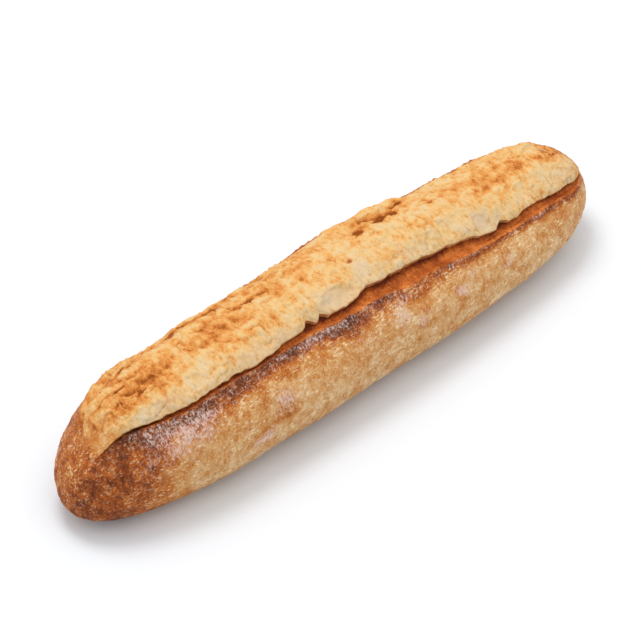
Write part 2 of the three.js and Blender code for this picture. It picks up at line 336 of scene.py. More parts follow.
share = np.linspace(NOSE_RING, 1 - NOSE_RING, RINGS)
x = (-HALF_LENGTH * (np.cos(np.pi * share) + 1 - 2 * share) / 2)[:, None]
lip, rim, back_edge, back_lip = cut_lines(x)
open_here = opening(x)
per_mm = 1 / (GIRTH_RADIUS * np.maximum(girth(x), 0.3))
lip_rise = open_here * along(FRONT_LIP_RISE, x)
depth = open_here * along(CUT_DEPTH, x)
edge_rise = open_here * BLOOM_EDGE_RISE
back_rise = open_here * along(BACK_LIP_RISE, x)
undercut = open_here * UNDERCUT * per_mm
BASE_MIDDLE = math.radians(-90)


def steps(name, closed=False):
    """Shares from 0 towards 1 for the rows of one stretch of a ring."""
    rows = ROWS[name]
    return (np.arange(rows) / (rows - 1 if closed else rows))[None, :]


def front_crust_rows():
    t = steps("front_crust")
    t = 0.45 * t + 0.55 * (1 - (1 - t) ** 1.8)
    angle = lerp(BASE_MIDDLE, lip, t)
    return angle, lip_rise * np.exp(-((lip - angle) / per_mm / 3) ** 2)


def wall_rows():
    t = steps("wall", closed=True)
    angle = lerp(lip, rim, 0.9 * t) + undercut * smooth_step(t, 0.4, 1)
    return angle, lerp(lip_rise, -depth, smooth_step(t, 0, 0.45))


def rim_rows():
    t = (np.arange(ROWS["rim"]) + 1)[None, :] / (ROWS["rim"] + 1)
    inside = lerp(lip, rim, 0.9) + undercut
    nose = rim - 0.35 * open_here * per_mm
    angle = (1 - t) ** 2 * inside + 2 * t * (1 - t) * nose + t * t * rim
    rise = (1 - t) ** 2 * -depth + 2 * t * (1 - t) * lerp(-depth, edge_rise, 0.8) + t * t * edge_rise
    return angle, rise


def bloom_rows():
    t = steps("bloom", closed=True)
    angle = lerp(rim, back_edge, t)
    swell = 1 - (1 - np.minimum(t / 0.3, 1)) ** 2
    tuck = smooth_step(t, 0.8, 1)
    drop = BACK_DROP * smooth_step(t, 0.45, 0.75)
    crown = lerp(edge_rise, open_here * (along(BLOOM_RISE, x) - drop), swell)
    relief = open_here * bloom_relief(x, angle) * smooth_step(t, 0, 0.12) * (1 - 0.6 * tuck)
    return angle, relief + lerp(crown, -open_here * BACK_GULLY, tuck)


def back_lip_rows():
    t = (np.arange(ROWS["back_lip"]) + 1)[None, :] / ROWS["back_lip"]
    return lerp(back_edge, back_lip, t), lerp(-open_here * BACK_GULLY, back_rise, smooth_step(t, 0, 1))


def back_crust_rows():
    t = (np.arange(ROWS["back_crust"]) + 1)[None, :] / (ROWS["back_crust"] + 1)
    angle = lerp(back_lip, BASE_MIDDLE + 2 * math.pi, t)
    return angle, back_rise * np.exp(-((angle - back_lip) / per_mm / 4) ** 2)


stretches = [front_crust_rows(), wall_rows(), rim_rows(), bloom_rows(), back_lip_rows(), back_crust_rows()]
angle = np.concatenate([part[0] for part in stretches], axis=1)
rise = np.concatenate([part[1] for part in stretches], axis=1)
first_row = dict(zip(ROWS, np.cumsum([0] + list(ROWS.values()))))
row = np.arange(angle.shape[1])[None, :]
x = x + 0 * angle
form = plain_crust(x, angle) + outward(x, angle) * (dents(x, angle) + rise)[..., None]
print("points:", form.shape[0], "rings of", form.shape[1])

# %% [markdown]
# Where things are on the loaf
#
# Finish follows form: the bloom is pale because it came out last, the lip is dark because it stood up
# in the heat, and flour lies where hands and the peel left it. So the distances to the cut's lines are
# worked out once, in millimetres, with soft masks from 0 to 1, and relief and colour both use them.

# %% Masks and distances
girth_here = 1 / per_mm
below_lip = (lip - angle) * girth_here
over_rim = (angle - rim) * girth_here
over_back = (angle - back_edge) * girth_here
over_back_lip = (angle - back_lip) * girth_here
arc = angle * GIRTH_RADIUS
degrees = np.degrees(angle)

on_wall = (row >= first_row["wall"]) & (row < first_row["rim"] + ROWS["rim"])
wall = np.where(on_wall, 1.0, 0.0) * open_here
fray_width = 0.5 + 4.5 * smooth_step(x, -132, -118) * (1 - smooth_step(x, -60, -30))
bloom = smooth_step(over_rim, -0.5, 0.3) * (1 - smooth_step(over_back / fray_width, 0.5, 1.5)) * open_here
bloom = np.where(row < first_row["rim"], 0, bloom)
bloom_end = smooth_step(x, -140, -135) * (1 - smooth_step(x, 141, 146))
bloom = bloom * bloom_end
print("share of the skin that is bloom:", round(float(bloom.mean()), 2))

# %% [markdown]
# Flakes, creases, pits and blisters
#
# As the bloom stretched, its skin tore into flakes and dried in creases, with pits where bubbles burst.
# The old skin is tighter: fine leather with small blisters. The wall of the cut shows drawn strands.
# Each is a few layers of lumps: a step in the lumps makes the edge of a flake, the line where they
# cross zero makes a crease, and a scatter of round spots makes pits and blisters. They push the points
# along the form's own normals, so that they stand square to the rim and the wall too.


# %% Helpers for relief
def grid_normals(points):
    """Outward normals of the grid of points, whose rows close round the loaf."""
    along_loaf = np.gradient(points, axis=0)
    round_loaf = np.roll(points, -1, axis=1) - np.roll(points, 1, axis=1)
    return unit(np.cross(along_loaf, round_loaf))


def crease(noise, width):
    """1 on the lines where the noise crosses zero, and 0 beyond width from them."""
    return 1 - smooth_step(np.abs(noise), 0, width)


def spots(points, size, chance, seed):
    """Round spots of mixed sizes, at most size apart, as heights from 0 to 1."""
    p = points / size
    cell = np.floor(p)
    height = np.zeros(points.shape[:-1])
    for di in (-1, 0, 1):
        for dj in (-1, 0, 1):
            for dk in (-1, 0, 1):
                i, j, k = np.moveaxis(cell + (di, dj, dk), -1, 0)
                jitter = [speck(i + seed, j + 31 * n, k + 7 * n) for n in (1, 2, 3)]
                centre = np.stack([i, j, k], -1) + 0.2 + 0.6 * np.stack(jitter, -1)
                radius = 0.25 + 0.35 * speck(i, j + seed, k + 5)
                near = 1 - np.linalg.norm(p - centre, axis=-1) / radius
                there = speck(i + 3, j + 9, k + seed) < chance
                height = np.maximum(height, np.where(there, np.clip(near, 0, 1), 0))
    return height * height * (3 - 2 * height)


# %% Relief of the bloom, the wall and the old skin
# Scoops where a flake of skin has gone: station, angle, half length, half width, depth
SCOOPS = [
    (-11, 68.5, 9, 4, 0.6), (73, 61, 4, 5, 0.8), (9, 80, 6, 7, 0.4), (-56, 72, 7, 3.5, 0.4),
    (34, 84, 6, 4, 0.4), (100, 66, 8, 3.5, 0.45), (124, 60, 5, 4, 0.5), (-118, 84, 6, 4, 0.5),
    (-92, 72, 8, 4, 0.4), (128, 92, 7, 5, 0.45),
]
# Pits where bubbles burst and were toasted inside, in the same terms
PITS = [
    (24, 102, 3.2, 1.7, 1.3), (37, 104, 4.5, 1.8, 1.3), (45.5, 102, 2.2, 1.2, 1.0), (52, 110, 3, 1.3, 1.1),
    (-114, 101, 5, 0.7, 0.9), (-108, 89, 3, 0.9, 0.7), (-41, 102, 4, 1.0, 0.7), (-139, 103, 1.6, 3, 1.2),
    (-136, 112, 2, 3, 1.2), (-131, 116, 3, 1.6, 1.1), (7, 86, 1.5, 0.9, 0.8), (131, 79, 1.6, 1.1, 0.8),
    (-147, 38, 2, 5, 0.4), (112, 117, 2, 1.5, 0.9), (119, 111, 2.2, 1.2, 0.8), (-101, 93, 2.2, 0.8, 0.6),
    (-64, 84, 2.5, 0.7, 0.5), (88, 113, 3, 1.2, 0.8), (-88, 121, 4, 1.5, 0.9), (-70, 119, 3, 1.4, 0.9),
    (-53, 117, 3, 1.4, 0.8), (-104, 122, 4, 1.6, 1.0), (-118, 120, 3.5, 1.6, 1.0),
]


def oval(at, mid, long, wide):
    """Squared distance from the middle of an oval on the skin, 1 on its edge."""
    across = (degrees - mid) * math.radians(1) * GIRTH_RADIUS / wide
    return ((x - at) / long) ** 2 + across ** 2


def ovals(places, low, high, fray):
    """The deepest of a list of frayed ovals: full depth inside low, none outside high."""
    deepest = np.zeros(x.shape)
    for at, mid, long, wide, deep in places:
        distance = np.sqrt(oval(at, mid, long, wide)) * (1 + fray * uneven)
        deepest = np.maximum(deepest, deep * (1 - smooth_step(distance, low, high)))
    return deepest


# Places shifted by a millimetre or two, so that flakes and creases wander
DRIFT = 2.0
drift = np.stack([lumps_in_space(form, 6, seed) for seed in (11, 12, 13)], axis=-1)
drifted = form + DRIFT * drift
uneven = 0.6 * lumps_in_space(form, 5, 31) + 0.4 * lumps_in_space(form, 2.5, 32)

crack_zone = smooth_step(lumps_in_space(form, 14, 2), -0.3, 0.3)
cracks = crease(lumps_in_space(drifted, 7, 1), 0.12) * crack_zone
wrinkles = crease(lumps_in_space(drifted * (1, 0.6, 0.6), 4.2, 3), 0.35)
flakes = 0.6 * smooth_step(lumps_in_space(drifted, 8, 4), -0.05, 0.05)
flakes = flakes + 0.4 * smooth_step(lumps_in_space(drifted, 4.4, 5), -0.07, 0.07)
grit = 0.6 * lumps_in_space(form, 2.2, 6) + 0.4 * lumps_in_space(form, 1.4, 7)
back_band = smooth_step(degrees, 104, 116)
pit_zone = back_band * smooth_step(lumps_in_space(form, 18, 8), -0.4, 0.2)
bubbles = spots(form * (0.6, 1, 1), 4.0, 0.5, 21) * np.maximum(pit_zone, 0.1)
holes = ovals(PITS, 0.35, 1.15, 0.5)
scoops = ovals(SCOOPS, 0.8, 1.05, 0.3)

BLOOM_RELIEF = 1.032  # strength of the bloom's flakes, creases and grit
rim_fade = smooth_step(over_rim, 0.3, 2.5)
bloom_fine = 0.4 * flakes + 0.4 * wrinkles - 0.7 * cracks + 0.36 * grit + 0.2 * lumps_in_space(form, 4, 9)
bloom_fine = BLOOM_RELIEF * bloom_fine * (1 + 0.2 * back_band) * (1 - 0.5 * smooth_step(scoops, 0, 0.4))
bloom_fine = bloom_fine * lerp(0.4, 1, rim_fade) - 1.1 * bubbles - holes - scoops * rim_fade

strands = 0.6 * lumps(x / 1.5 + arc / 9, arc / 7 + 300) + 0.4 * lumps(x / 13, arc / 1.2 + 330)
wall_fine = 0.4 * strands + 0.15 * grit

blisters = spots(form, 3.4, 0.4, 41)
leather = 0.12 * wrinkles + 0.15 * lumps_in_space(form, 3.2, 14) + 0.13 * grit
front_fray = 0.3 * lumps(x / 2.3, 400) + 0.2 * lumps(x / 1.2, 410)
back_fray = 0.42 * lumps(x / 2.6, 500) + 0.28 * lumps(x / 1.2, 510)
frayed = front_fray * np.exp(-np.abs(below_lip) / 2.2) + back_fray * np.exp(-(over_back_lip / 1.5) ** 2)
crust_fine = leather + 0.3 * blisters + frayed * open_here

fine = crust_fine * (1 - bloom) * (1 - wall) + bloom_fine * bloom + wall_fine * wall * (1 - bloom)
base = smooth_step(form[..., 2], 0.05, 2.5)
skin = form + grid_normals(form) * (fine * base * smooth_step(girth(x), 0.02, 0.2))[..., None]
skin[..., 2] = np.maximum(skin[..., 2], 0)
print("fine relief from", round(float(fine.min()), 2), "to", round(float(fine.max()), 2), "mm")

# %% [markdown]
# Browning, painted shade and flour
#
# Heat caught the thin and proud places: flakes and folds at the back, the left end, the lip. Close to
# the cut the bloom stayed cream, because it opened last, and greyish where its skin slid off or stayed
# damp. Flour dried in soft patches with a lilac cast. Listed patches put the main ones where this
# loaf has them, and noise frays their edges. Browning goes from 0, raw dough, to 1, dark brown. Soot
# lies over it, from 0 to 1, and flour over both. Painted shade and highlight are mixed into the browning
# and the soot as well: darker under the bloom's rim, on the lower side, in patches at the left end and in
# the hollows of the bloom's relief, and paler on its ridges.

# %% Places of toasted, pale, floury, damp and golden skin, and of painted shade
# Each patch: station, angle in degrees, half length and half width in mm, strength
TOASTED = [
    (-124, 92, 9, 8, 0.14), (-111, 101, 10, 6, 0.12), (-103, 88, 8, 8, 0.16), (-98, 108, 9, 5, 0.08),
    (-70, 97, 10, 5, 0.2), (-92, 130, 30, 4, 0.18), (-58, 84, 14, 9, 0.24), (-40, 72, 12, 8, 0.08),
    (-42, 102, 14, 5, 0.08), (-15, 106, 22, 6, 0.1), (25, 103, 4, 3, 0.35), (40, 105, 7, 3, 0.35),
    (52, 110, 4, 3, 0.3), (24, 77, 4, 2.6, 0.3), (8, 86, 2.5, 1.5, 0.3), (38, 81, 6, 2, 0.15),
    (80, 96, 15, 3, 0.18), (95, 86, 18, 3.5, 0.13), (120, 85, 11, 3.5, 0.22), (132, 79, 4, 2.5, 0.2),
    (112, 115, 8, 3, 0.1), (-78, 93, 26, 8, 0.1), (-97, 82, 10, 8, 0.2), (-117, 84, 7, 5, 0.14),
    (-88, 117, 34, 3, 0.15), (-68, 116, 18, 4, 0.14), (98, 75, 30, 5, 0.17), (108, 55, 14, 3, 0.12),
    (100, 84, 24, 6, 0.14), (138, 88, 8, 14, 0.36), (127, 118, 12, 4, 0.15), (136, 108, 6, 5, 0.2),
]
PALE = [
    (-88, 80, 16, 6, 0.15), (-110, 72, 10, 4, 0.15), (-55, 72, 16, 5, 0.1), (-13, 69, 9, 3, 0.3),
    (9, 80, 6, 7, 0.2), (38, 70, 10, 4, 0.1), (73, 64, 5, 6, 0.3), (100, 69, 15, 5, 0.08),
    (122, 65, 10, 8, 0.15), (128, 95, 10, 8, 0.1), (-136, 90, 4, 13, 0.36), (79, 116, 8, 6, 0.16),
    (-68, 126, 18, 5, 0.2), (139, 64, 6, 6, 0.3), (-90, 110, 34, 1.8, 0.14),
]
DUSTED = [
    (-95, 40, 9, 5, 0.28), (-104, 30, 12, 7, 0.55), (-114, 42, 10, 9, 0.45), (-70, -1, 6, 2, 0.9),
    (-57, 24, 6, 6, 0.8), (-128, 22, 5, 8, 0.35), (12, 32, 5, 6, 0.7), (22, 16, 4, 4, 0.7),
    (47, 21, 5, 4, 0.7), (55, 31, 5, 4, 0.5), (78, 21, 5, 3.5, 0.7), (-8, 28, 7, 5, 0.2),
    (118, 10, 9, 6, 0.3), (-138, 108, 5, 7, 0.5), (-30, 52, 24, 3, 0.3), (102, 41, 5, 1.2, 0.5),
    (60, 44, 20, 1.4, 0.2), (139, 5, 3, 14, 0.4), (-20, 20, 30, 10, 0.12), (60, 15, 40, 10, 0.12),
]
COOL = [
    (-11, 68, 9, 3.5, 0.9), (73, 62, 4.5, 6, 1.0), (9, 80, 6, 7, 0.5), (-106, 68, 9, 4, 0.5),
    (-86, 70, 10, 5, 0.35), (-45, 67, 10, 4, 0.5), (32, 70, 9, 5, 0.35), (95, 60, 12, 3, 0.4),
    (124, 58, 8, 5, 0.45), (-62, 68, 7, 4, 0.4), (128, 94, 6, 4, 0.35), (138, 72, 8, 12, 0.4),
]
GOLDEN = [
    (-53, 40, 4, 3, 0.3), (-57, 14, 4, 5, 0.3), (26, 40, 6, 3, 0.2), (118, 27, 12, 8, 0.07),
    (-98, 40, 8, 5, 0.14), (-118, 40, 4, 10, 0.2), (26, 25, 4, 3, 0.12), (-35, 36, 10, 4, 0.12),
    (70, 33, 10, 4, 0.12),
]
# Dark nicks in the wall of the cut, where the rim tore, and painted shade under the rim at the cut's
# left end and low on the left tip
NICKS = [(-29.5, 63, 2.5, 2.5, 0.5), (-22, 63, 2.5, 2.5, 0.5), (82, 53, 3, 2.5, 0.4)]
PAINTED_SHADE_PATCHES = [(-122, 69, 9, 3.5, 0.95), (-133, 74, 5, 2.5, 0.6), (-148, 38, 2.5, 6, 0.7)]
PATCH_FRAY = 0.9


def patches(places):
    """The sum of soft oval patches with frayed edges."""
    total = np.zeros(x.shape)
    for at, mid, long, wide, strength in places:
        total = total + strength * np.exp(-oval(at, mid, long, wide) * (1 + PATCH_FRAY * uneven))
    return total


broad = 0.6 * lumps_in_space(form, 24, 33) + 0.4 * lumps_in_space(form, 10, 34)
mottle = 0.6 * lumps_in_space(drifted, 5, 35) + 0.4 * lumps_in_space(drifted, 2.6, 36)
print("toasted, pale and floury places:", len(TOASTED), len(PALE), len(DUSTED))

# %% Browning of the bloom, with painted highlight and shade on its relief
BLOOM_BROWNING = 0.49
burst = bloom * np.maximum(smooth_step(bubbles, 0.3, 0.9), smooth_step(holes, 0.1, 0.9))
bloom_browning_and_shade = BLOOM_BROWNING + 0.08 * broad + 0.08 * mottle + 0.12 * (flakes - 0.5)
bloom_browning_and_shade = bloom_browning_and_shade + 0.12 * smooth_step(degrees, 80, 118) - 0.16 * np.exp(-over_rim / 6)
# Painted highlight and shade: raised wrinkles and grit are made paler and sunken cracks browner
bloom_browning_and_shade = bloom_browning_and_shade + 0.3 * bubbles + 0.22 * cracks - 0.14 * wrinkles - 0.14 * grit + 0.45 * burst
bloom_browning_and_shade = bloom_browning_and_shade + patches(TOASTED) - patches(PALE)
near_rim = np.exp(-np.maximum(over_rim, 0) / 9)
print("browning of the bloom's middle:", round(float(np.median(bloom_browning_and_shade[bloom > 0.5])), 2))

# %% Browning of the old crust
CRUST_BROWNING = 0.35
LEFT_END_BROWNING = 0.47  # on top of the crust's own
BACK_RUST = 0.66

left_end = 1 - smooth_step(x + 6 * broad, -137, -98)
left_end = left_end * (1 - 0.3 * smooth_step(degrees, 60, 100))
# Painted shade: the lower side of the crust is made less brown here and greyer by soot further on
low_side_shade = smooth_step(-degrees, -22, 5)
crust_browning_and_shade = CRUST_BROWNING + 0.06 * broad + 0.08 * mottle + LEFT_END_BROWNING * left_end + patches(GOLDEN)

# A dark band under the lip, wider at the left end and beside the two tears near the middle
band_width = lerp(10, 6.6, smooth_step(x, -85, -50)) - 3.2 * smooth_step(x, 30, 75)
band_width = band_width + 4 * np.exp(-((x + 17) / 10) ** 2)
band = np.exp(-(np.maximum(below_lip, 0) / band_width) ** 3) * open_here * (row < first_row["wall"])
band_toast = 0.93 - 0.18 * smooth_step(x, -5, 25) + 0.1 * smooth_step(x, 48, 64) + 0.08 * mottle
crust_browning_and_shade = np.maximum(crust_browning_and_shade, lerp(crust_browning_and_shade, band_toast, band))

# A rusty line under the back lip
rust = np.exp(-(np.maximum(over_back_lip, 0) / 6) ** 2) * open_here * (row > first_row["bloom"])
crust_browning_and_shade = np.maximum(crust_browning_and_shade, lerp(crust_browning_and_shade, BACK_RUST + 0.1 * mottle, rust))
# Less browning on the lower side, which with the soot below makes it greyer: part of its painted shade. The
# right end is a little paler too
crust_browning_and_shade = crust_browning_and_shade - 0.05 * low_side_shade - 0.03 * smooth_step(x, 40, 80)
print("browning of the old crust:", round(float(np.median(crust_browning_and_shade[(bloom < 0.5) & (wall < 0.5)])), 2))

# %% Browning of the cut's wall, with painted shade under the rim
# It is brown at the left and orange in the middle, and darkest under the rim, where shade is painted in
wall_browning_and_shade = 0.6 - 0.14 * smooth_step(x, -55, -35) + 0.05 * smooth_step(x, 70, 95)
wall_browning_and_shade = wall_browning_and_shade + 0.14 * smooth_step(x, -10, 10) * (1 - smooth_step(x, 40, 60))
wall_browning_and_shade = wall_browning_and_shade + 0.12 * strands + 0.1 * lumps_in_space(form, 9, 37)
# Painted shade: a dark band on the wall just under the bloom's rim, widest near the middle of the loaf
shadow_width = lerp(0.7, 2.2, smooth_step(x, -40, 10) * (1 - 0.5 * smooth_step(x, 60, 85)))
painted_shade_under_rim = wall * smooth_step(over_rim / shadow_width, -1.6, 0)
painted_shade_under_rim = painted_shade_under_rim * lerp(0.4, 1, smooth_step(x, -45, 5)) * (1 - 0.4 * smooth_step(x, 45, 65))
wall_browning_and_shade = wall_browning_and_shade + 0.38 * painted_shade_under_rim + wall * patches(NICKS)

# The browning mask also carries the painted shade and highlight worked out above
browning_and_shade = lerp(lerp(crust_browning_and_shade, wall_browning_and_shade, wall), bloom_browning_and_shade, bloom)
print("browning from", round(float(browning_and_shade.min()), 2), "to", round(float(browning_and_shade.max()), 2))

# %% Soot, painted shade and flour
LIP_LINE_WIDTH = 0.7  # mm of soot along the lip
FLOUR_ALL_OVER = 0.1

lip_line = np.exp(-(np.abs(below_lip + 0.1) / LIP_LINE_WIDTH) ** 1.5) * open_here
lip_soot = (0.36 - 0.14 * smooth_step(x, -10, 15)) * lip_line
# Dark specks over the side crust, thicker low down, where they are painted shade of the lower side
side_soot_and_low_shade = (0.13 + 0.09 * low_side_shade) * (1 - left_end) * (1 - wall)
# Soot and painted shade off the bloom: the painted shade patches, soot along the lip, and the side's specks
# and low shade
crust_soot_and_shade = np.maximum(np.maximum(0.85 * patches(PAINTED_SHADE_PATCHES), lip_soot), side_soot_and_low_shade) * (1 - bloom)
# Scorched specks on the bloom, thicker near the rim, partly painted shade in the hollows of its fine relief
bloom_soot_and_hollow_shade = np.maximum(bloom * (0.1 + 0.2 * near_rim), 0.3 * burst)
# The soot mask also carries painted shade: a little of that under the rim, the shade patches and the low
# side
soot_and_shade = np.maximum(np.maximum(crust_soot_and_shade, bloom_soot_and_hollow_shade), 0.1 * painted_shade_under_rim)

band_flour = 0.28 * band * (0.7 + 0.4 * smooth_step(-x, 75, 95) - 0.35 * smooth_step(x, 45, 70))
flour = FLOUR_ALL_OVER + 0.08 * broad + band_flour + 0.75 * patches(DUSTED)
flour = flour * (1 - 0.8 * smooth_step(-x, 122, 134)) * (1 - 0.8 * wall)
flour = lerp(flour, patches(COOL) + near_rim * (0.12 + 0.2 * broad), bloom)
print("soot up to", round(float(soot_and_shade.max()), 2), "and flour up to", round(float(flour.max()), 2))

# %% [markdown]
# The loaf as one mesh
#
# The grid becomes quads, and a fan of triangles closes each tip, so the loaf is one closed skin like
# the real crust. The masks go along as point attributes, which the material reads by name and which
# stay with the mesh wherever it is moved or exported.


# %% Mesh of the loaf
def ring_faces(rings, rows):
    """Corner numbers of the quads between neighbouring rings, facing out."""
    ring, place = np.meshgrid(np.arange(rings - 1), np.arange(rows), indexing="ij")
    after = (place + 1) % rows
    here, there = ring * rows, (ring + 1) * rows
    return np.stack([here + place, there + place, there + after, here + after], axis=-1).reshape(-1, 4)


def tip_faces(ring, rows, tip, outside_left):
    """Corner numbers of the triangles from a ring to the point at its tip."""
    place = np.arange(rows)
    first, second = ring * rows + place, ring * rows + (place + 1) % rows
    if not outside_left:
        first, second = second, first
    return np.stack([np.full(rows, tip), first, second], axis=-1)


rings, rows = skin.shape[:2]
centre = (form.reshape(-1, 3).max(axis=0) + form.reshape(-1, 3).min(axis=0)) / 2
points = np.concatenate([skin.reshape(-1, 3), skin[0].mean(axis=0)[None], skin[-1].mean(axis=0)[None]])
points = (points - (centre[0], centre[1], 0)) * MM
faces = ring_faces(rings, rows).tolist()
faces += tip_faces(0, rows, rings * rows, True).tolist()
faces += tip_faces(rings - 1, rows, rings * rows + 1, False).tolist()

mesh = bpy.data.meshes.new("loaf_skin")
mesh.from_pydata(points.tolist(), [], faces)
mesh.polygons.foreach_set("use_smooth", [True] * len(mesh.polygons))
for name, mask in (("bloom", bloom), ("wall", wall), ("browning_and_shade", browning_and_shade), ("soot_and_shade", soot_and_shade), ("flour", flour)):
    values = np.concatenate([mask.reshape(-1), [mask[0].mean(), mask[-1].mean()]]).astype(np.float32)
    mesh.attributes.new(name, "FLOAT", "POINT").data.foreach_set("value", values)
mesh.update()
loaf_skin = bpy.data.objects.new("loaf_skin", mesh)
bpy.context.scene.collection.objects.link(loaf_skin)
triangles = sum(len(face.vertices) - 2 for face in mesh.polygons)
print("triangles:", triangles, "and size, mm:", [round(v / MM, 1) for v in loaf_skin.dimensions])

# %% [markdown]
# A small class for shader maths
#
# A material is a recipe of nodes, but a recipe reads best as arithmetic. This class holds one socket.
# Adding, subtracting or multiplying it adds the Math node that does so, and any other node comes from
# one method, which sets the node's settings first and then its sockets.


# %% Shader maths
class Wire:
    """One output socket in a material, or the empty start of its tree."""

    def __init__(self, tree, socket=None):
        self.tree = tree
        self.socket = socket

    def node(self, kind, settings, sockets, output=0):
        made = self.tree.nodes.new(kind)
        stops = settings.pop("stops", None)
        for name, value in settings.items():
            setattr(made, name, value)
        if stops:
            fill_ramp(made.color_ramp, stops)
        for name, value in sockets.items():
            if isinstance(value, Wire):
                self.tree.links.new(value.socket, made.inputs[name])
            else:
                made.inputs[name].default_value = value
        return Wire(self.tree, made.outputs[output])

    def maths(self, operation, first, second):
        return self.node("ShaderNodeMath", {"operation": operation}, {0: first, 1: second})

    def __add__(self, other):
        return self.maths("ADD", self, other)

    def __sub__(self, other):
        return self.maths("SUBTRACT", self, other)

    def __rsub__(self, other):
        return self.maths("SUBTRACT", other, self)

    def __mul__(self, other):
        return self.maths("MULTIPLY", self, other)

    __radd__ = __add__
    __rmul__ = __mul__

    def step(self, low, high):
        """0 below low and 1 above high, with a smooth ramp between."""
        sockets = {"Value": self, "From Min": low, "From Max": high}
        return self.node("ShaderNodeMapRange", {"interpolation_type": "SMOOTHSTEP"}, sockets)

    def mask(self, name):
        """A mask that the mesh carries."""
        return self.node("ShaderNodeAttribute", {"attribute_name": name}, {}, "Fac")

    def noise(self, place, size_mm, detail=2, roughness=0.5):
        """Noise from 0 to 1, with lumps of that size."""
        sockets = {"Vector": place, "Scale": 1 / (size_mm * MM), "Detail": detail, "Roughness": roughness}
        return self.node("ShaderNodeTexNoise", {}, sockets)

    def ramp(self, stops):
        return self.node("ShaderNodeValToRGB", {"stops": stops}, {0: self})

    def mix(self, first, second):
        """A colour between two: the first where this is 0 and the second where it is 1."""
        settings = {"data_type": "RGBA", "clamp_factor": True}
        return self.node("ShaderNodeMix", settings, {0: self, 6: first, 7: second}, 2)


def fill_ramp(ramp, stops):
    """Sets a colour ramp's stops: (position, colour)."""
    while len(ramp.elements) < len(stops):
        ramp.elements.new(1.0)
    for element, (position, colour) in zip(ramp.elements, stops):
        element.position = position
        element.color = colour


def seen(red, green, blue, light):
    """The linear colour of a surface that looks like this on a screen, 0 to 255, under that much light."""
    def linear(value):
        v = value / 255
        return v / 12.92 if v <= 0.04045 else ((v + 0.055) / 1.055) ** 2.4
    return (linear(red) / light, linear(green) / light, linear(blue) / light, 1.0)


print("a mid grey's linear value:", round(seen(128, 128, 128, 1.0)[0], 2))

# %% [markdown]
# The crust's finish
#
# Bread goes from cream through gold and orange to dark brown as it bakes, so one number, its browning,
# picks the colour from a ramp. The bloom, the wall of the cut and the old skin each have their own
# ramp, because fresh dough, drawn strands and floured skin brown differently. Colours are written as
# they look in the photograph and divided by the light there, since the top lies in more light than the
# side. Fine noise breaks the masks up below the size of a face. The same noise lifts the bump, and the
# colour is painted browner in its hollows and paler on its rises, as painted shade and highlight. Over
# the browning come sooty specks, which also paint shade in those hollows, cream flecks where the dry
# skin crazed, then flour as a veil with grains in it, and on the bloom the greyish film of its damp places.

# %% Material of the loaf
TOP_LIGHT = 1.24
SIDE_LIGHT = 1.04
CUT_LIGHT = 1.04
BLOOM_STOPS = [
    (0.0, seen(223, 201, 164, TOP_LIGHT)), (0.22, seen(230, 200, 152, TOP_LIGHT)),
    (0.45, seen(235, 193, 130, TOP_LIGHT)), (0.62, seen(232, 170, 96, TOP_LIGHT)),
    (0.8, seen(217, 135, 62, TOP_LIGHT)), (1.0, seen(154, 80, 24, TOP_LIGHT)),
]
CRUST_STOPS = [
    (0.0, seen(236, 206, 164, SIDE_LIGHT)), (0.3, seen(212, 162, 104, SIDE_LIGHT)),
    (0.5, seen(194, 122, 54, SIDE_LIGHT)), (0.7, seen(164, 82, 26, SIDE_LIGHT)),
    (0.85, seen(124, 60, 26, SIDE_LIGHT)), (1.0, seen(86, 42, 20, SIDE_LIGHT)),
]
WALL_STOPS = [
    (0.0, seen(240, 166, 96, CUT_LIGHT)), (0.35, seen(208, 118, 52, CUT_LIGHT)),
    (0.6, seen(166, 82, 28, CUT_LIGHT)), (0.85, seen(122, 50, 12, CUT_LIGHT)),
    (1.0, seen(92, 34, 8, CUT_LIGHT)),
]
# Dark browns for soot on the crust and scorch on the bloom, also used to paint shade in hollows and low
# places
SOOT_AND_SHADE_BROWN = seen(82, 34, 14, SIDE_LIGHT)
SCORCH_AND_SHADE_BROWN = seen(158, 92, 40, TOP_LIGHT)
FLECK = seen(246, 216, 172, SIDE_LIGHT)
FLOUR = seen(228, 202, 192, SIDE_LIGHT)
DAMP = seen(222, 192, 156, TOP_LIGHT)
BLOTCH_MM, CRUMB_MM, GRAIN_MM, FLECK_MM, POWDER_MM = 6.0, 1.6, 0.8, 1.0, 1.0  # sizes of the noises
BUMP_MM = 1.6
FLOUR_COVER, DAMP_COVER = 0.75, 0.6  # how much each hides at its thickest
GLOSS = 0.18


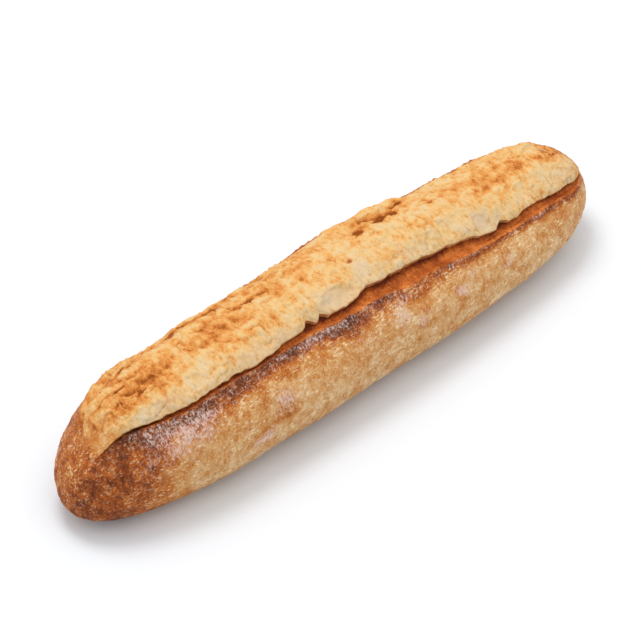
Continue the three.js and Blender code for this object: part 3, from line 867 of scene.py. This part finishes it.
def crust_material():
    """The material of the whole skin, which reads the masks that the mesh carries."""
    material = bpy.data.materials.new("baked_crust")
    material.use_nodes = True
    tree = material.node_tree
    shader = tree.nodes["Principled BSDF"]
    start = Wire(tree)
    place = start.node("ShaderNodeTexCoord", {}, {}, "Object")
    drawn = start.node("ShaderNodeVectorMath", {"operation": "MULTIPLY"}, {0: place, 1: (1, 0.55, 0.55)})
    combed = start.node("ShaderNodeVectorMath", {"operation": "MULTIPLY"}, {0: place, 1: (0.4, 1, 1)})
    bloom_mask, wall_mask = start.mask("bloom"), start.mask("wall")
    skin_mask = 1 - bloom_mask

    blotch = start.noise(place, BLOTCH_MM, detail=4, roughness=0.6)
    crumb = start.noise(drawn, CRUMB_MM, detail=5, roughness=0.7)
    grain = start.noise(place, GRAIN_MM, detail=2, roughness=0.6)
    patch = (blotch - 0.5) * 0.75
    browning_and_shade = start.mask("browning_and_shade")
    # Painted shade and highlight: the colour is browner where the crumb noise dips, which is a hollow of
    # the bump below, and paler where it rises
    shaded_heat = browning_and_shade + patch + (0.5 - crumb) * 0.6
    shaded_heat = shaded_heat + (grain - 0.5) * (0.65 - 0.25 * bloom_mask)
    colour = wall_mask.mix(shaded_heat.ramp(CRUST_STOPS), shaded_heat.ramp(WALL_STOPS))
    colour = bloom_mask.mix(colour, shaded_heat.ramp(BLOOM_STOPS))
    # Soot specks, and painted shade in the same hollows of the crumb noise
    soot_and_hollow_shade = start.mask("soot_and_shade") + (0.5 - crumb) * (0.8 + 0.5 * bloom_mask)
    colour = soot_and_hollow_shade.step(0.1, 0.9).mix(colour, bloom_mask.mix(SOOT_AND_SHADE_BROWN, SCORCH_AND_SHADE_BROWN))

    strokes = start.noise(combed, FLECK_MM, detail=3, roughness=0.65)
    flecks = (strokes - patch * 0.6).step(0.55, 0.66) * skin_mask * (1 - wall_mask)
    flecks = flecks * (0.75 - 0.5 * browning_and_shade.step(0.55, 0.85))
    colour = flecks.mix(colour, FLECK)

    dust = start.mask("flour")
    powder = start.noise(drawn, POWDER_MM, detail=4, roughness=0.8)
    cover = (dust + patch * 0.5 + (powder - 0.5) * 2.6).step(0.35, 0.9) * FLOUR_COVER * skin_mask
    colour = cover.mix(colour, FLOUR)
    damp = (dust + patch + (crumb - 0.5) * 0.5).step(0.15, 0.8) * DAMP_COVER * bloom_mask
    colour = damp.mix(colour, DAMP)

    height = crumb * 0.5 + flecks * 0.12 + grain * 0.2
    bump = start.node("ShaderNodeBump", {}, {"Height": height, "Strength": 1.0, "Distance": BUMP_MM * MM})
    rough = 0.6 + 0.22 * bloom_mask + 0.25 * cover
    shader.inputs["IOR"].default_value = 1.4
    shader.inputs["Specular IOR Level"].default_value = GLOSS
    tree.links.new(colour.socket, shader.inputs["Base Color"])
    tree.links.new(rough.socket, shader.inputs["Roughness"])
    tree.links.new(bump.socket, shader.inputs["Normal"])
    return material


baked_crust = crust_material()
loaf_skin.data.materials.append(baked_crust)
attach(loaf_skin, "root")
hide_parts("loaf")
print("nodes in the crust's material:", len(baked_crust.node_tree.nodes))

# %% [markdown]
# The table and the light
#
# The loaf lies on a pale table under a soft lamp that hangs high and a little behind it, so its top is
# bright and its shadow falls softly to the front. Pale walls and a brighter ceiling fill the shadows.
# They are a world whose light grows with the height that a ray looks to.

# %% Table
TABLE_SIZE = 6.0
TABLE_COLOUR = (0.7, 0.717, 0.742, 1.0)
TABLE_ROUGHNESS = 0.9

table_mesh = bpy.data.meshes.new("table")
corner = TABLE_SIZE / 2
corners = [(-corner, -corner, 0), (corner, -corner, 0), (corner, corner, 0), (-corner, corner, 0)]
table_mesh.from_pydata(corners, [], [(0, 1, 2, 3)])
table = bpy.data.objects.new("table", table_mesh)
bpy.context.scene.collection.objects.link(table)
table_finish = bpy.data.materials.new("white_table")
table_finish.use_nodes = True
table_shader = table_finish.node_tree.nodes["Principled BSDF"]
table_shader.inputs["Base Color"].default_value = TABLE_COLOUR
table_shader.inputs["Roughness"].default_value = TABLE_ROUGHNESS
table_shader.inputs["Specular IOR Level"].default_value = 0.0
table_mesh.materials.append(table_finish)
print("table, m:", TABLE_SIZE)

# %% Light
WALL_STRENGTH = 0.7
CEILING_STRENGTH = 1.38
LAMP = {"azimuth": 172, "elevation": 73, "distance": 1.2, "size": 0.5, "power": 5.5}

world = bpy.data.worlds.new("studio")
world.use_nodes = True
sky = world.node_tree.nodes["Background"]
sky.inputs["Color"].default_value = (1, 1, 1, 1)
ray = Wire(world.node_tree).node("ShaderNodeTexCoord", {}, {}, "Generated")
height = ray.node("ShaderNodeSeparateXYZ", {}, {0: ray}, "Z")
glow = WALL_STRENGTH + height.step(0, 1) * (CEILING_STRENGTH - WALL_STRENGTH)
world.node_tree.links.new(glow.socket, sky.inputs["Strength"])
bpy.context.scene.world = world

lamp = bpy.data.objects.new("soft_lamp", bpy.data.lights.new("soft_lamp", "AREA"))
lamp.data.shape = "DISK"
lamp.data.size = LAMP["size"]
lamp.data.energy = LAMP["power"]
towards_lamp = direction(math.radians(LAMP["azimuth"]), math.radians(LAMP["elevation"]))
lamp.location = towards_lamp * LAMP["distance"]
lamp.rotation_euler = towards_lamp.to_track_quat("Z", "Y").to_euler()
bpy.context.scene.collection.objects.link(lamp)
bpy.context.scene.view_settings.view_transform = "Standard"
print("lamp at, m:", [round(v, 2) for v in lamp.location])
